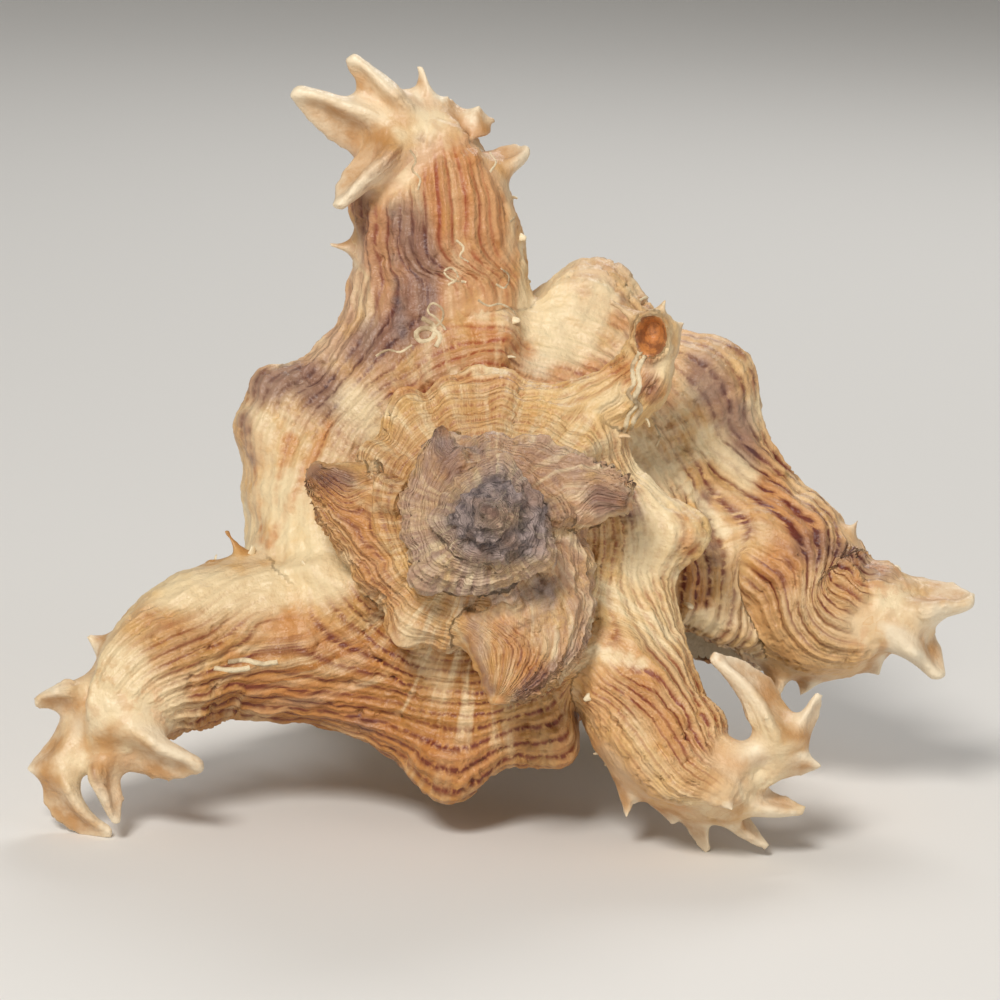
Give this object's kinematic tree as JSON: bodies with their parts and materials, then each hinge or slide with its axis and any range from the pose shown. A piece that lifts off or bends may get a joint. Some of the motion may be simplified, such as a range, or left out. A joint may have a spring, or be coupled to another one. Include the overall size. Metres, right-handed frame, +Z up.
{
  "type": "murex shell",
  "caption": "Large branched murex sea shell with a pointed spire, three fronded varices, an open aperture and a long siphonal canal, lying on its fronds.",
  "frame": {"origin": "bottom centre of the shell's box, on the surface that the shell lies on", "axes": "+Z up; the spire points towards -Y and up, the siphonal canal towards +Y and down, and the outer lip lies on the +X side"},
  "size_m": [0.1644, 0.1874, 0.1301],
  "materials": {
    "shell": "cream shell with fine orange-brown spiral lines, satin on the body and white and glossy at the tips and in the aperture, worn grey-purple at the spire"
  },
  "bodies": {
    "root": {"shell": "shell"}
  },
  "joints": []
}
